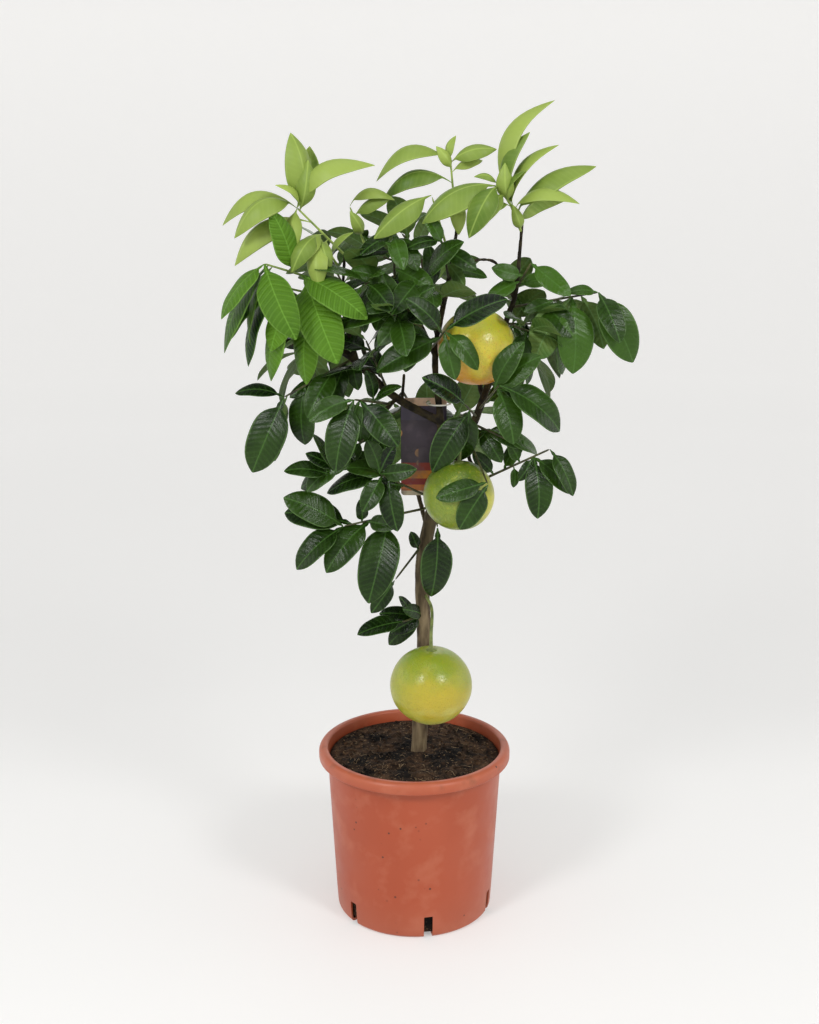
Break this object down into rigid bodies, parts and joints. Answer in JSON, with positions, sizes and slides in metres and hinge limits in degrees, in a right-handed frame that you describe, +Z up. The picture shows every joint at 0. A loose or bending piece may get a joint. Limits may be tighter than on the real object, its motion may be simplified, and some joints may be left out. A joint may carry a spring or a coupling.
{
  "type": "potted pomelo tree",
  "caption": "Young pomelo tree with ripening fruits and fresh leafy shoots, growing in a round terracotta-coloured plastic nursery pot with a rolled lip.",
  "frame": {"origin": "middle of the flat foot of the pot, on the surface it stands on", "axes": "+Z up along the pot's axis, -Y the front that shows the low fruit and the label, +X to the right seen from the front"},
  "size_m": [0.4363, 0.3171, 0.9141],
  "materials": {
    "pot_plastic": "satin",
    "potting_soil": "rough",
    "bark": "rough",
    "green_stalk": "matte",
    "leaf_fresh": "satin",
    "leaf_young": "satin",
    "leaf_grown": "glossy",
    "fruit_peel": "satin",
    "label_card": "glossy",
    "tie_plastic": "satin"
  },
  "bodies": {
    "root": {"pot": "pot_plastic", "soil": "potting_soil", "trunk": "bark", "stalk_low": "green_stalk", "stalk_middle": "green_stalk", "stalk_upper": "green_stalk", "fruit_low": "fruit_peel", "fruit_middle": "fruit_peel", "fruit_upper": "fruit_peel", "plant_label": "label_card", "label_tie": "tie_plastic", "shoot_top_left": "leaf_fresh", "shoot_top_left_low": "leaf_fresh", "shoot_left_young": "leaf_young", "shoot_left_hanging": "leaf_young", "shoot_left_bough": "leaf_grown", "shoot_mid_left": "leaf_grown", "shoot_left_low": "leaf_grown", "shoot_low_left": "leaf_grown", "shoot_low_mid": "leaf_grown", "shoot_hanging": "leaf_grown", "shoot_trunk_low": "leaf_grown", "shoot_trunk_front": "leaf_grown", "shoot_right_far": "leaf_grown", "shoot_right_stem": "leaf_grown", "shoot_right_front": "leaf_grown", "shoot_right_mid": "leaf_grown", "shoot_right_low": "leaf_grown", "shoot_fruit_cover": "leaf_grown", "shoot_centre_front": "leaf_grown", "shoot_centre_low": "leaf_grown", "shoot_top_right": "leaf_fresh", "shoot_top_right_low": "leaf_fresh", "shoot_top_grey": "leaf_fresh", "shoot_top_mid": "leaf_fresh", "shoot_top_mid_dark": "leaf_grown", "shoot_top_mid_left": "leaf_fresh", "shoot_upper_left": "leaf_grown", "shoot_mid_upper": "leaf_grown", "shoot_inner_front": "leaf_grown", "shoot_inner_left": "leaf_grown", "shoot_inner_upper": "leaf_grown", "shoot_inner_bough": "leaf_grown", "shoot_inner_top": "leaf_grown", "shoot_inner_right": "leaf_grown", "shoot_inner_low": "leaf_grown", "shoot_left_back": "leaf_grown", "shoot_back_left": "leaf_grown", "shoot_back_left_top": "leaf_grown", "shoot_back_low": "leaf_grown", "shoot_back_mid": "leaf_grown", "shoot_back_low_right": "leaf_grown", "shoot_back_right": "leaf_grown", "shoot_back_right_top": "leaf_grown", "shoot_back_right_far": "leaf_grown", "shoot_back_top": "leaf_grown", "shoot_back_upper": "leaf_grown", "shoot_back_inner": "leaf_grown", "shoot_right_back": "leaf_grown"}
  },
  "joints": []
}
